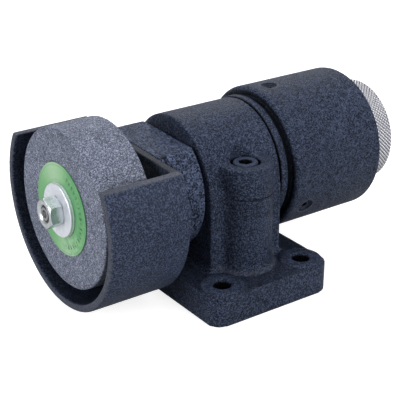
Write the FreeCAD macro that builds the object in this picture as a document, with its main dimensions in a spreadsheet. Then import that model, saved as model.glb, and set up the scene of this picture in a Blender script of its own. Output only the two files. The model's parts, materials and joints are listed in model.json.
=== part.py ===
import FreeCAD, Part
import math
import os
import Sketcher
from FreeCAD import Placement, Rotation, Vector

# A small truing spindle for a bench. A three inch wheel runs in an open guard at one
# end of a housing, a centrifugal brake runs in a drum at the other end, and a split
# clamp ring on a four-hole base holds the housing between them.
# Frame: origin at the centre of the base's underside, +Z up, spindle along X with the
# wheel at the -X end. Lengths are millimetres, angles are degrees.

SIZES = {
    # base, pedestal and clamp ring
    "axis_height": 52.3, "base_half_long": 34.6, "base_half_wide": 56.0,
    "base_thick": 15.1, "base_corner": 8.0, "pad_top": 16.5, "pad_rad": 10.2,
    "bolt_along": 47.0, "bolt_across": 91.6, "bolt_rad": 4.45,
    "ring_half": 20.65, "ring_rad": 32.2, "bore_rad": 22.3, "pedestal_half": 33.0,
    "foot_fillet": 4.0,
    "boss_rad": 13.2, "boss_across": 31.4, "boss_top": 67.7, "boss_fillet": 4.0, "slit_gap": 1.0,
    "screw_rad": 3.9, "screw_clear_rad": 4.1, "head_rad": 5.95, "head_tall": 8.0,
    "head_top": 67.4, "head_edge": 0.5, "sink_rad": 7.2, "hex_across": 6.35, "hex_deep": 4.0,
    "screw_end": 24.0, "tap_end": 20.0,
    # wheel and what clamps it
    "wheel_front": -79.8, "wheel_wide": 25.4, "wheel_rad": 38.1, "wheel_bore_rad": 6.4,
    "wheel_edge": 0.8, "blotter_thick": 0.6, "blotter_rad": 22.0, "blotter_bore_rad": 6.5,
    "washer_thick": 2.2, "washer_rad": 12.75, "washer_edge": 0.8,
    "nut_tall": 6.6, "nut_across": 13.0, "nut_turn": 22.7, "nut_face_rad": 6.3, "nut_bevel_deg": 30.0,
    "nut_sink_rad": 4.75, "thread_rad": 3.9, "thread_clear_rad": 4.0, "thread_end": -88.9,
    "centre_hole_rad": 1.3, "centre_hole_deep": 3.0,
    "flange_rad": 16.0, "flange_thick": 4.0, "flange_edge": 0.5, "flange_relief_rad": 9.0,
    "flange_relief": 0.6,
    # guard
    "guard_front": -82.6, "guard_back": -42.2, "guard_rad": 48.0, "guard_wall": 3.7,
    "guard_floor": 4.0, "guard_rim": 0.8, "cut_height": 23.9, "guard_turn": 1.5,
    "hub_rad": 31.6, "hub_back": -22.5, "hub_edge": 0.7, "hub_bore_rad": 22.3,
    "weld_leg": 2.4, "hub_screw_x": -32.0, "hub_screw_rad": 2.9, "hub_screw_sunk": 1.0,
    "hub_screw_hex": 3.0, "socket_deep": 1.6,
    # housing
    "tube_front": -46.2, "tube_rad": 22.25, "inner_bore_rad": 15.5, "bearing_rad": 17.5,
    "band_front": 21.2, "band_back": 25.5, "band_rad": 32.7, "band_edge": 0.6,
    "groove_rad": 30.4, "spigot_front": 28.3, "spigot_back": 46.0, "spigot_rad": 31.95,
    "front_race_front": -39.0, "race_wide": 11.0, "rear_race_front": 30.0,
    "clip_thick": 1.5, "clip_rad": 18.4, "clip_groove_wide": 1.7, "clip_inner_rad": 15.4,
    "clip_gap_deg": 24.0, "eye_rad": 1.6, "eye_hole_rad": 0.8, "eye_in": 0.6, "eye_turn_deg": 6.0,
    "seal_thick": 4.0, "seal_front": -46.0, "seal_rad": 17.45, "seal_run_rad": 10.15,
    "rear_seal_front": 43.0, "rear_seal_back": 45.8, "rear_seal_bore_rad": 13.0,
    # bearings
    "race_bore_rad": 7.5, "inner_race_rad": 10.6, "outer_race_bore_rad": 14.5,
    "pitch_rad": 12.55, "ball_rad": 2.95, "cage_wall": 0.6,
    "cage_half": 4.2, "ball_count": 9, "fit_gap": 0.05,
    # spindle
    "nose_rad": 6.35, "nose_short": 0.8, "thread_edge": 0.6, "collar_front": -49.8, "collar_rad": 10.0,
    "brake_seat_rad": 7.0, "brake_seat_front": 46.6, "knob_seat_rad": 6.0,
    "knob_seat_front": 74.0, "spindle_end": 97.0,
    "lock_nut_rad": 12.5, "lock_nut_back": 46.4, "notch_wide": 3.0, "notch_deep": 1.6, "notch_wall": 1.5,
    "key_wide": 4.0, "key_tall": 4.0,
    "key_front": 50.0, "key_back": 68.0, "key_seat": 4.6,
    # brake
    "drum_front": 27.8, "drum_back": 82.75, "drum_rad": 36.3, "drum_bore_rad": 32.0,
    "drum_edge": 1.2, "drum_screw_x": 38.1, "drum_screw_rad": 2.4, "drum_screw_hex": 2.5,
    "spot_rad": 3.9, "spot_deep": 1.2, "screw_below": 0.2,
    "cover_front": 77.0, "cover_back": 80.4, "cover_rad": 32.95, "cover_bore_rad": 10.5,
    "cover_clip_thick": 1.5, "cover_clip_rad": 34.1, "cover_clip_inner_rad": 30.4,
    "cover_clip_gap_deg": 14.0,
    "carrier_front": 48.0, "carrier_plate": 3.5, "carrier_rad": 29.0, "carrier_hub_rad": 13.0,
    "carrier_back": 74.0,
    "pivot_rad": 22.5, "pin_rad": 3.0, "pin_bore_rad": 3.06, "pin_back": 74.5,
    "shoe_front": 52.5, "shoe_back": 72.5, "shoe_inner_rad": 17.0, "shoe_outer_rad": 28.4,
    "lining_rad": 31.0, "shoe_span": 148.0, "lining_span": 110.0, "shoe_lead": 16.0,
    "spring_wire": 0.5, "spring_coil_rad": 2.0, "spring_inset_deg": 4.0,
    # knob
    "knob_front": 83.6, "knob_back": 99.6, "knob_rad": 26.9, "knob_edge": 0.9,
    "knob_recess_rad": 20.0, "knob_recess": 2.0, "neck_gap": 0.7,
    "knob_screw_x": 91.0, "knob_screw_rad": 2.5, "knob_screw_long": 9.0, "knob_screw_hex": 2.5,
}


# Places of the set screws round the spindle, where 0 is +Y and 90 is +Z.
HUB_SCREW_ANGLES = (0, 300)
DRUM_SCREW_ANGLES = (90, 210, 330)
KNOB_SCREW_ANGLE = 315

# Spanner notches round the bearing lock nut.
NOTCHES = 4

# Slack for picking edges and for cuts that run out past a face.
SLACK = 1.0
NEAR = 0.01


class Size:
    """A number that also knows the sheet expression that gives it."""

    def __init__(self, value, text):
        self.value = value
        self.text = text

    def _joined(self, sign, other, value, swapped=False):
        other_text = other.text if isinstance(other, Size) else repr(float(other))
        left, right = (other_text, self.text) if swapped else (self.text, other_text)
        return Size(value, "(%s %s %s)" % (left, sign, right))

    def __add__(self, other):
        return self._joined("+", other, self.value + number(other))

    def __radd__(self, other):
        return self._joined("+", other, number(other) + self.value, swapped=True)

    def __sub__(self, other):
        return self._joined("-", other, self.value - number(other))

    def __rsub__(self, other):
        return self._joined("-", other, number(other) - self.value, swapped=True)

    def __mul__(self, other):
        return self._joined("*", other, self.value * number(other))

    def __truediv__(self, other):
        return self._joined("/", other, self.value / number(other))

    def __neg__(self):
        return Size(-self.value, "(0 - %s)" % self.text)


def number(size):
    return size.value if isinstance(size, Size) else float(size)


def words(size):
    return size.text if isinstance(size, Size) else repr(float(size))


class Sizes:
    """Each cell of the sheet, by its alias."""

    def __init__(self, sheet):
        for row, (name, value) in enumerate(SIZES.items(), start=1):
            sheet.set("A%d" % row, name)
            sheet.set("B%d" % row, str(value))
            sheet.setAlias("B%d" % row, name)
            setattr(self, name, Size(float(value), "Dims." + name))


doc = FreeCAD.newDocument("truing_spindle")
sheet = doc.addObject("Spreadsheet::Sheet", "Dims")
d = Sizes(sheet)
doc.recompute()
kept = []


# ---- general helpers -------------------------------------------------------------------

def plane(body, role):
    return [item for item in body.Origin.OriginFeatures if item.Role == role][0]


def new_body(label):
    body = doc.addObject("PartDesign::Body", label)
    body.Label = label
    kept.append(body)
    return body


def on_spindle(item):
    """Put a piece that is drawn about the X axis on the spindle's axis."""
    item.setExpression("Placement.Base.z", "Dims.axis_height")
    return item


def outline(body, role, points, name, offset=None):
    """A closed sketch of straight lines whose corners are bound to the sheet."""
    sketch = body.newObject("Sketcher::SketchObject", name)
    sketch.AttachmentSupport = [(plane(body, role), "")]
    sketch.MapMode = "FlatFace"
    if offset is not None:
        sketch.setExpression("AttachmentOffset.Base.z", words(offset))
    places = [Vector(number(u), number(v), 0) for u, v in points]
    count = len(points)
    for index in range(count):
        line = Part.LineSegment(places[index], places[(index + 1) % count])
        sketch.addGeometry(line, False)
    for index in range(count):
        sketch.addConstraint(Sketcher.Constraint("Coincident", index, 2, (index + 1) % count, 1))
    for index, (u, v) in enumerate(points):
        for kind, size in (("DistanceX", u), ("DistanceY", v)):
            value = number(size)
            key = sketch.addConstraint(Sketcher.Constraint(kind, -1, 1, index, 1, value))
            if isinstance(size, Size):
                sketch.setExpression("Constraints[%d]" % key, words(size))
    return sketch


def circles(body, role, centres, radius, name, offset=None):
    """A sketch of equal circles whose centres and radius are bound to the sheet."""
    sketch = body.newObject("Sketcher::SketchObject", name)
    sketch.AttachmentSupport = [(plane(body, role), "")]
    sketch.MapMode = "FlatFace"
    if offset is not None:
        sketch.setExpression("AttachmentOffset.Base.z", words(offset))
    for index, (u, v) in enumerate(centres):
        centre = Vector(number(u), number(v), 0)
        sketch.addGeometry(Part.Circle(centre, Vector(0, 0, 1), number(radius)), False)
        for kind, size in (("DistanceX", u), ("DistanceY", v)):
            key = sketch.addConstraint(Sketcher.Constraint(kind, -1, 1, index, 3, number(size)))
            if isinstance(size, Size):
                sketch.setExpression("Constraints[%d]" % key, words(size))
        key = sketch.addConstraint(Sketcher.Constraint("Radius", index, number(radius)))
        sketch.setExpression("Constraints[%d]" % key, words(radius))
    return sketch


def pad(body, sketch, length, name, both_ways=False):
    feature = body.newObject("PartDesign::Pad", name)
    feature.Profile = sketch
    feature.setExpression("Length", words(length))
    if both_ways:
        feature.SideType = "Symmetric"
    doc.recompute()
    return feature


def pocket(body, sketch, name, length=None, both_ways=False, flip=False):
    """Cut a sketch out of the body, and make sure that it did cut."""
    before = body.Shape.Volume
    feature = body.newObject("PartDesign::Pocket", name)
    feature.Profile = sketch
    if length is None:
        feature.Type = "ThroughAll"
    else:
        feature.setExpression("Length", words(length))
    if both_ways:
        feature.SideType = "Symmetric"
    feature.Reversed = flip
    doc.recompute()
    if not body.Shape.Volume < before - 1e-6:
        raise RuntimeError("%s in %s cut nothing" % (name, body.Label))
    return feature


def turn(body, points, name, cut=False):
    """Turn an outline of (x, radius) points about the X axis."""
    sketch = outline(body, "XZ_Plane", points, name + "_outline")
    kind = "PartDesign::Groove" if cut else "PartDesign::Revolution"
    before = body.Shape.Volume if cut else 0.0
    feature = body.newObject(kind, name)
    feature.Profile = sketch
    feature.ReferenceAxis = (sketch, ["H_Axis"])
    feature.Angle = 360
    doc.recompute()
    if cut and not body.Shape.Volume < before - 1e-6:
        raise RuntimeError("%s in %s cut nothing" % (name, body.Label))
    return feature


def turned(label, points):
    """A piece turned about the spindle's axis."""
    body = on_spindle(new_body(label))
    turn(body, points, label + "_turned")
    return body


def ring_points(front, back, inner, outer):
    return [(front, inner), (front, outer), (back, outer), (back, inner)]


def chamfered_ring(front, back, inner, outer, edge):
    """A ring whose two outer edges are chamfered."""
    return [(front, inner), (front, outer - edge), (front + edge, outer),
            (back - edge, outer), (back, outer - edge), (back, inner)]


def feature_shape(label, shape, turned_on_spindle=True):
    """A sub-part whose shape is made by Part's own functions."""
    item = doc.addObject("Part::Feature", label)
    item.Label = label
    item.Shape = shape
    if turned_on_spindle:
        on_spindle(item)
    else:
        item.Placement = Placement()
    kept.append(item)
    return item


def radial_place(x, radius, angle_deg):
    """A point on the spindle's own frame at a radius, and the way out from the axis."""
    angle = math.radians(angle_deg)
    out = Vector(0, math.cos(angle), math.sin(angle))
    return Vector(number(x), 0, 0) + out * number(radius), out


def bar(radius, length, centre, axis):
    return Part.makeCylinder(number(radius), number(length), centre, axis)


def hexagon_bar(across, length, centre, axis, turn_deg=0.0):
    """A hexagonal prism from centre along axis."""
    corner = across / math.sqrt(3)
    points = []
    for index in range(7):
        angle = math.radians(60 * index + turn_deg)
        points.append(Vector(corner * math.cos(angle), corner * math.sin(angle), 0))
    prism = Part.Face(Part.makePolygon(points)).extrude(Vector(0, 0, length))
    prism.Placement = Placement(centre, Rotation(Vector(0, 0, 1), axis))
    return prism


def edges_where(shape, test):
    return [edge for edge in shape.Edges if test(edge)]


# ---- bracket ---------------------------------------------------------------------------

def four_corners(half_x, half_y):
    return [(-half_x, -half_y), (half_x, -half_y), (half_x, half_y), (-half_x, half_y)]


def rounded(body, test, radius, name):
    """Round every edge of the body that passes the test."""
    names = ["Edge%d" % index for index, edge in enumerate(body.Shape.Edges, start=1) if test(edge)]
    if not names:
        raise RuntimeError("%s found no edge" % name)
    base = body.Tip
    feature = body.newObject("PartDesign::Fillet", name)
    feature.Base = (base, names)
    feature.setExpression("Radius", words(radius))
    doc.recompute()
    return feature


def bracket_casting():
    """Base plate, corner pads, pedestal, clamp boss and split ring in one casting."""
    body = new_body("bracket_casting")
    base = outline(body, "XY_Plane", four_corners(d.base_half_long, d.base_half_wide), "base_outline")
    pad(body, base, d.base_thick, "base_plate")
    rounded(body, lambda edge: edge.BoundBox.ZLength > 1, d.base_corner, "base_corners")

    column = outline(body, "XY_Plane", four_corners(d.ring_half, d.pedestal_half), "pedestal_outline")
    pad(body, column, d.axis_height, "pedestal")
    screw_place = [(0, -d.boss_across)]
    boss = circles(body, "XY_Plane", screw_place, d.boss_rad, "boss_outline")
    pad(body, boss, d.axis_height, "boss_foot")

    def boss_side(edge):
        box = edge.BoundBox
        upright = box.ZLength > (d.axis_height - d.base_thick).value - SLACK
        return upright and abs(edge.CenterOfMass.x) < d.boss_rad.value + SLACK
    rounded(body, boss_side, d.boss_fillet, "boss_sides")

    def foot_line(edge):
        box = edge.BoundBox
        level = max(abs(box.ZMin - d.base_thick.value), abs(box.ZMax - d.base_thick.value)) < NEAR
        in_x = max(abs(box.XMin), abs(box.XMax)) < d.ring_half.value + SLACK
        in_y = max(abs(box.YMin), abs(box.YMax)) < d.base_half_wide.value - SLACK
        return level and in_x and in_y
    rounded(body, foot_line, d.foot_fillet, "foot_fillet")
    holes = four_corners(d.bolt_along / 2, d.bolt_across / 2)
    pad(body, circles(body, "XY_Plane", holes, d.pad_rad, "pad_outlines"), d.pad_top, "corner_pads")

    upper = circles(body, "XY_Plane", screw_place, d.boss_rad, "boss_top_outline")
    pad(body, upper, d.boss_top, "boss")
    axis_place = [(0, d.axis_height)]
    ring = circles(body, "YZ_Plane", axis_place, d.ring_rad, "ring_outline")
    pad(body, ring, d.ring_half * 2, "ring", True)
    pocket(body, circles(body, "YZ_Plane", axis_place, d.bore_rad, "bore_outline"), "bore",
           d.ring_half * 4, both_ways=True)
    low, high = d.axis_height, d.axis_height + d.slit_gap
    outside, inside = -(d.boss_across + d.boss_rad * 2), -(d.bore_rad - SLACK)
    slit = [(outside, low), (inside, low), (inside, high), (outside, high)]
    pocket(body, outline(body, "YZ_Plane", slit, "slit_outline"), "slit", d.ring_half * 4, both_ways=True)
    seat = d.head_top - d.head_tall
    sink = circles(body, "XY_Plane", screw_place, d.sink_rad, "sink_outline", seat)
    pocket(body, sink, "head_sink", d.head_tall * 4, flip=True)
    clear = circles(body, "XY_Plane", screw_place, d.screw_clear_rad, "clear_outline", d.axis_height)
    pocket(body, clear, "screw_clearance", d.head_tall * 2, flip=True)
    tapped = circles(body, "XY_Plane", screw_place, d.screw_rad + d.fit_gap, "tapped_outline",
                     d.axis_height + d.slit_gap)
    pocket(body, tapped, "tapped_hole", d.axis_height + d.slit_gap - d.tap_end)
    pocket(body, circles(body, "XY_Plane", holes, d.bolt_rad, "bolt_outlines"), "bolt_holes",
           d.pad_top * 2, flip=True)


def clamp_screw():
    """Socket head cap screw that closes the ring."""
    centre = Vector(0, -d.boss_across.value, 0)
    up = Vector(0, 0, 1)
    head = bar(d.head_rad, d.head_tall, centre + up * (d.head_top - d.head_tall).value, up)
    rims = edges_where(head, lambda edge: edge.BoundBox.ZMin > d.head_top.value - NEAR)
    head = head.makeChamfer(d.head_edge.value, rims)
    shank = bar(d.screw_rad, d.head_top - d.head_tall - d.screw_end, centre + up * d.screw_end.value, up)
    socket = hexagon_bar(d.hex_across.value, d.hex_deep.value + SLACK,
                         centre + up * (d.head_top - d.hex_deep).value, up)
    feature_shape("clamp_screw", head.fuse(shank).cut(socket).removeSplitter(), False)


# ---- wheel and what clamps it ----------------------------------------------------------

def wheel_set():
    front, wide, paper = d.wheel_front, d.wheel_wide, d.blotter_thick
    back = front + wide
    turned("grinding_wheel", chamfered_ring(front, back, d.wheel_bore_rad, d.wheel_rad, d.wheel_edge))
    for label, place in (("front_blotter", front - paper), ("rear_blotter", back)):
        turned(label, ring_points(place, place + paper, d.blotter_bore_rad, d.blotter_rad))
    washer_back = front - paper
    washer_front = washer_back - d.washer_thick
    turned("outer_flange_washer", [
        (washer_front, d.thread_clear_rad), (washer_front, d.washer_rad - d.washer_edge),
        (washer_front + d.washer_edge, d.washer_rad), (washer_back, d.washer_rad),
        (washer_back, d.thread_clear_rad)])
    flange_front, relief = back + paper, back + paper + d.flange_relief
    flange_back = flange_front + d.flange_thick
    turned("inner_flange", [
        (relief, d.wheel_bore_rad), (relief, d.flange_relief_rad), (flange_front, d.flange_relief_rad),
        (flange_front, d.flange_rad - d.flange_edge), (flange_front + d.flange_edge, d.flange_rad),
        (flange_back, d.flange_rad), (flange_back, d.wheel_bore_rad)])


def spindle_nut():
    """Hexagon nut with both faces chamfered and a countersunk bore."""
    body = on_spindle(new_body("spindle_nut"))
    back = d.wheel_front - d.blotter_thick - d.washer_thick
    front = back - d.nut_tall
    corner = d.nut_across / math.sqrt(3)
    corners = []
    for index in range(6):
        angle = math.radians(60 * index + SIZES["nut_turn"])
        corners.append((corner * math.cos(angle), corner * math.sin(angle)))
    pad(body, outline(body, "YZ_Plane", corners, "hexagon", front), d.nut_tall, "prism")
    slope = math.tan(math.radians(SIZES["nut_bevel_deg"]))
    face_rad, far_rad, over = d.nut_face_rad, corner + SLACK, SLACK * slope
    for name, face, way in (("front_chamfer", front, 1), ("back_chamfer", back, -1)):
        outer = face + (far_rad - face_rad) * slope * way
        turn(body, [(face - over * way, face_rad - SLACK), (outer, far_rad),
                    (face - over * way, far_rad)], name, cut=True)
    sink = d.nut_sink_rad - d.thread_clear_rad
    turn(body, [(front - over, 0), (front - over, d.nut_sink_rad + over), (front + sink, d.thread_clear_rad),
                (back + over, d.thread_clear_rad), (back + over, 0)], "threaded_bore", cut=True)


# ---- guard -----------------------------------------------------------------------------

def level_cut(body):
    """Mill the top off flat, to let the wheel stand out of the guard, and turn it on its axis."""
    reach = d.guard_rad * 2
    sketch = outline(body, "XY_Plane", four_corners(reach, reach), "level_outline", d.cut_height)
    sketch.AttachmentOffset = Placement(Vector(0, 0, 0), Rotation(Vector(1, 0, 0), 1.0))
    sketch.setExpression("AttachmentOffset.Rotation.Angle", words(d.guard_turn) + " * 1 deg")
    pocket(body, sketch, "level_cut", reach, flip=True)


def guard():
    shell = turned("guard_shell", [
        (d.guard_front, d.guard_rad - d.guard_wall), (d.guard_front, d.guard_rad - d.guard_rim),
        (d.guard_front + d.guard_rim, d.guard_rad), (d.guard_back, d.guard_rad),
        (d.guard_back, d.hub_bore_rad), (d.guard_back - d.guard_floor, d.hub_bore_rad),
        (d.guard_back - d.guard_floor, d.guard_rad - d.guard_wall)])
    level_cut(shell)
    hub = turned("guard_hub", [
        (d.guard_back, d.hub_bore_rad), (d.guard_back, d.hub_rad), (d.hub_back - d.hub_edge, d.hub_rad),
        (d.hub_back, d.hub_rad - d.hub_edge), (d.hub_back, d.hub_bore_rad)])
    level_cut(hub)
    for index, angle in enumerate(HUB_SCREW_ANGLES):
        sketch = circles(hub, "XY_Plane", [(d.hub_screw_x, 0)], d.hub_screw_rad + d.fit_gap,
                         "hub_hole_%d" % index, 0)
        sketch.AttachmentOffset = Placement(Vector(0, 0, 0), Rotation(Vector(1, 0, 0), angle - 90))
        pocket(hub, sketch, "hub_screw_hole_%d" % index, d.hub_rad + SLACK, flip=True)
    weld = turned("guard_weld", [(d.guard_back, d.hub_rad), (d.guard_back, d.hub_rad + d.weld_leg),
                                 (d.guard_back + d.weld_leg, d.hub_rad)])
    level_cut(weld)


def set_screw(x, inner, outer, radius, angle_deg, across):
    """One socket set screw, standing out from the spindle's axis."""
    start, out = radial_place(x, inner, angle_deg)
    end, out = radial_place(x, outer, angle_deg)
    screw = bar(radius, outer - inner, start, out)
    deep = d.socket_deep.value
    return screw.cut(hexagon_bar(across.value, deep + SLACK, end - out * deep, out))


def set_screws():
    hub = [set_screw(d.hub_screw_x, d.tube_rad, d.hub_rad - d.hub_screw_sunk, d.hub_screw_rad, angle,
                     d.hub_screw_hex) for angle in HUB_SCREW_ANGLES]
    feature_shape("hub_set_screws", Part.makeCompound(hub))
    drum = [set_screw(d.drum_screw_x, d.spigot_rad, d.drum_rad - d.spot_deep - d.screw_below,
                      d.drum_screw_rad, angle, d.drum_screw_hex) for angle in DRUM_SCREW_ANGLES]
    feature_shape("drum_set_screws", Part.makeCompound(drum))
    knob = set_screw(d.knob_screw_x, d.knob_seat_rad, d.knob_seat_rad + d.knob_screw_long,
                     d.knob_screw_rad, KNOB_SCREW_ANGLE, d.knob_screw_hex)
    feature_shape("knob_set_screw", knob)


# ---- housing and bearings --------------------------------------------------------------

def spindle_housing():
    """One turned piece: tube, shoulder band, groove and the drum's spigot."""
    front_race_back = d.front_race_front + d.race_wide
    rear_race_back = d.rear_race_front + d.race_wide
    deep = d.clip_rad + d.fit_gap * 2
    turned("spindle_housing", [
        (d.tube_front, d.bearing_rad), (d.tube_front, d.tube_rad), (d.band_front, d.tube_rad),
        (d.band_front, d.band_rad - d.band_edge), (d.band_front + d.band_edge, d.band_rad),
        (d.band_back - d.band_edge, d.band_rad), (d.band_back, d.band_rad - d.band_edge),
        (d.band_back, d.groove_rad), (d.spigot_front, d.groove_rad), (d.spigot_front, d.spigot_rad),
        (d.spigot_back, d.spigot_rad), (d.spigot_back, d.bearing_rad),
        (rear_race_back + d.clip_groove_wide, d.bearing_rad),
        (rear_race_back + d.clip_groove_wide, deep), (rear_race_back, deep),
        (rear_race_back, d.bearing_rad), (d.rear_race_front, d.bearing_rad),
        (d.rear_race_front, d.inner_bore_rad), (front_race_back, d.inner_bore_rad),
        (front_race_back, d.bearing_rad), (d.front_race_front, d.bearing_rad),
        (d.front_race_front, deep), (d.front_race_front - d.clip_groove_wide, deep),
        (d.front_race_front - d.clip_groove_wide, d.bearing_rad)])


def clip(label, front, thick, inner, outer, gap_deg):
    """A retaining ring with a gap and two eyes beside the gap."""
    start = Vector(number(front), 0, 0)
    axis = Vector(1, 0, 0)
    ring = bar(outer, thick, start, axis).cut(bar(inner, thick, start, axis))
    half_gap = outer.value * math.sin(math.radians(gap_deg / 2))
    gap = Part.makeBox(thick.value, 2 * half_gap, outer.value, start - Vector(0, half_gap, 0))
    ring = ring.cut(gap)
    for side in (-1, 1):
        angle_deg = 90 + side * (gap_deg / 2 + SIZES["eye_turn_deg"])
        centre, out = radial_place(front, inner - d.eye_in, angle_deg)
        ring = ring.fuse(bar(d.eye_rad, thick, centre, axis))
        ring = ring.cut(bar(d.eye_hole_rad, thick, centre, axis))
    feature_shape(label, ring.removeSplitter())


def seals_and_clips():
    rear_race_back = d.rear_race_front + d.race_wide
    places = (("front_retaining_ring", d.front_race_front - d.clip_thick - d.fit_gap),
              ("rear_retaining_ring", rear_race_back + d.fit_gap))
    for label, front in places:
        clip(label, front, d.clip_thick, d.clip_inner_rad, d.clip_rad, SIZES["clip_gap_deg"])
    clip("cover_retaining_ring", d.cover_back + d.fit_gap, d.cover_clip_thick, d.cover_clip_inner_rad,
         d.cover_clip_rad, SIZES["cover_clip_gap_deg"])
    turned("front_seal", ring_points(d.seal_front, d.seal_front + d.seal_thick, d.seal_run_rad,
                                     d.seal_rad))
    turned("rear_seal", ring_points(d.rear_seal_front, d.rear_seal_back, d.rear_seal_bore_rad,
                                    d.seal_rad))


def ball_bearing(name, front):
    """Inner and outer rings with grooves, a ring of balls and their cage."""
    back, middle = front + d.race_wide, front + d.race_wide / 2
    groove_rad = d.ball_rad + d.fit_gap
    rings = (("outer", d.outer_race_bore_rad, d.bearing_rad), ("inner", d.race_bore_rad, d.inner_race_rad))
    for kind, inner, outer in rings:
        body = turned("%s_bearing_%s_ring" % (name, kind), ring_points(front, back, inner, outer))
        sketch = circles(body, "XZ_Plane", [(middle, d.pitch_rad)], groove_rad, "groove_outline")
        groove = body.newObject("PartDesign::Groove", "ball_groove")
        groove.Profile = sketch
        groove.ReferenceAxis = (sketch, ["H_Axis"])
        groove.Angle = 360
        doc.recompute()
    count = int(SIZES["ball_count"])
    balls = []
    for index in range(count):
        angle = math.pi / 2 + 2 * math.pi * index / count
        ball = doc.addObject("Part::Sphere", "%s_ball_%d" % (name, index))
        ball.setExpression("Radius", words(d.ball_rad))
        ball.setExpression("Placement.Base.x", words(middle))
        ball.setExpression("Placement.Base.y", words(d.pitch_rad * math.cos(angle)))
        ball.setExpression("Placement.Base.z", words(d.pitch_rad * math.sin(angle)))
        balls.append(ball)
    group = doc.addObject("Part::Compound", "%s_bearing_balls" % name)
    group.Label = "%s_bearing_balls" % name
    group.Links = balls
    kept.append(on_spindle(group))
    cage = turned("%s_bearing_cage" % name, ring_points(
        middle - d.cage_half, middle + d.cage_half, d.pitch_rad - d.cage_wall, d.pitch_rad + d.cage_wall))
    window = circles(cage, "XY_Plane", [(middle, 0)], groove_rad + d.fit_gap, "window_outline", 0)
    hole = pocket(cage, window, "ball_window", d.pitch_rad * 2, flip=True)
    around(cage, [hole], count, "ball_windows")


def around(body, features, count, name):
    """Repeat features round the X axis."""
    pattern = body.newObject("PartDesign::PolarPattern", name)
    pattern.Originals = features
    axis = [item for item in body.Origin.OriginFeatures if item.Role == "X_Axis"][0]
    pattern.Axis = (axis, [""])
    pattern.Angle = 360
    pattern.Occurrences = count
    body.Tip = pattern
    doc.recompute()
    return pattern


# ---- spindle ---------------------------------------------------------------------------

def spindle():
    step = d.wheel_front + d.nose_short
    body = turned("spindle", [
        (d.thread_end + d.centre_hole_deep, 0), (d.thread_end, d.centre_hole_rad),
        (d.thread_end, d.thread_rad - d.thread_edge), (d.thread_end + d.thread_edge, d.thread_rad),
        (step, d.thread_rad),
        (step, d.nose_rad), (d.collar_front, d.nose_rad), (d.collar_front, d.collar_rad),
        (d.front_race_front, d.collar_rad), (d.front_race_front, d.race_bore_rad),
        (d.brake_seat_front, d.race_bore_rad), (d.brake_seat_front, d.brake_seat_rad),
        (d.knob_seat_front, d.brake_seat_rad), (d.knob_seat_front, d.knob_seat_rad),
        (d.spindle_end, d.knob_seat_rad), (d.spindle_end, 0)])
    slot = outline(body, "XY_Plane", key_outline(), "key_slot_outline", d.key_seat)
    pocket(body, slot, "key_slot", d.key_tall * 2, flip=True)


def key_outline():
    half = d.key_wide / 2
    return [(d.key_front, -half), (d.key_back, -half), (d.key_back, half), (d.key_front, half)]


def spindle_fittings():
    front = d.front_race_front + d.race_wide
    turned("bearing_spacer", ring_points(front, d.rear_race_front, d.race_bore_rad, d.collar_rad))
    nut_front = d.rear_race_front + d.race_wide
    nut = turned("bearing_lock_nut", ring_points(nut_front, d.lock_nut_back, d.race_bore_rad,
                                                 d.lock_nut_rad))
    half, floor = d.notch_wide / 2, d.lock_nut_rad - d.notch_deep
    wall, past = nut_front + d.notch_wall, d.lock_nut_back + SLACK
    notch = outline(nut, "XY_Plane", [(wall, -half), (past, -half), (past, half), (wall, half)],
                    "notch_outline", floor)
    around(nut, [pocket(nut, notch, "notch", d.notch_deep * 2, flip=True)], NOTCHES, "notches")
    key = on_spindle(new_body("carrier_key"))
    pad(key, outline(key, "XY_Plane", key_outline(), "key_plan", d.key_seat), d.key_tall, "key_bar")


def knob():
    neck = d.cover_bore_rad - d.neck_gap
    body = turned("knurled_knob", [
        (d.knob_seat_front, d.knob_seat_rad), (d.knob_seat_front, neck), (d.knob_front, neck),
        (d.knob_front, d.knob_rad - d.knob_edge), (d.knob_front + d.knob_edge, d.knob_rad),
        (d.knob_back - d.knob_edge, d.knob_rad), (d.knob_back, d.knob_rad - d.knob_edge),
        (d.knob_back, d.knob_recess_rad), (d.knob_back - d.knob_recess, d.knob_recess_rad),
        (d.knob_back - d.knob_recess, d.knob_seat_rad)])
    sketch = circles(body, "XY_Plane", [(d.knob_screw_x, 0)], d.knob_screw_rad + d.fit_gap,
                     "screw_outline")
    sketch.AttachmentOffset = Placement(Vector(0, 0, 0), Rotation(Vector(1, 0, 0), KNOB_SCREW_ANGLE - 90))
    pocket(body, sketch, "screw_hole", d.knob_rad + SLACK, flip=True)


# ---- brake -----------------------------------------------------------------------------

def brake_drum():
    seat, groove = d.cover_rad + d.fit_gap, d.cover_clip_rad + d.fit_gap * 2
    groove_back = d.cover_back + d.cover_clip_thick + d.fit_gap * 2
    body = turned("brake_drum", [
        (d.drum_front, d.drum_bore_rad), (d.drum_front, d.drum_rad - d.drum_edge),
        (d.drum_front + d.drum_edge, d.drum_rad), (d.drum_back - d.drum_edge, d.drum_rad),
        (d.drum_back, d.drum_rad - d.drum_edge), (d.drum_back, seat), (groove_back, seat),
        (groove_back, groove), (d.cover_back, groove), (d.cover_back, seat), (d.cover_front, seat),
        (d.cover_front, d.drum_bore_rad)])
    place = [(d.drum_screw_x, 0)]
    top = d.drum_rad + SLACK
    spot = circles(body, "XY_Plane", place, d.spot_rad, "spot_outline", top)
    features = [pocket(body, spot, "spot_face", d.spot_deep + SLACK)]
    hole = circles(body, "XY_Plane", place, d.drum_screw_rad + d.fit_gap, "screw_outline", top)
    features.append(pocket(body, hole, "screw_hole", d.drum_rad - d.drum_bore_rad + SLACK * 3))
    around(body, features, len(DRUM_SCREW_ANGLES), "screw_places")
    turned("drum_cover", ring_points(d.cover_front, d.cover_back, d.cover_bore_rad, d.cover_rad))


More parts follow.
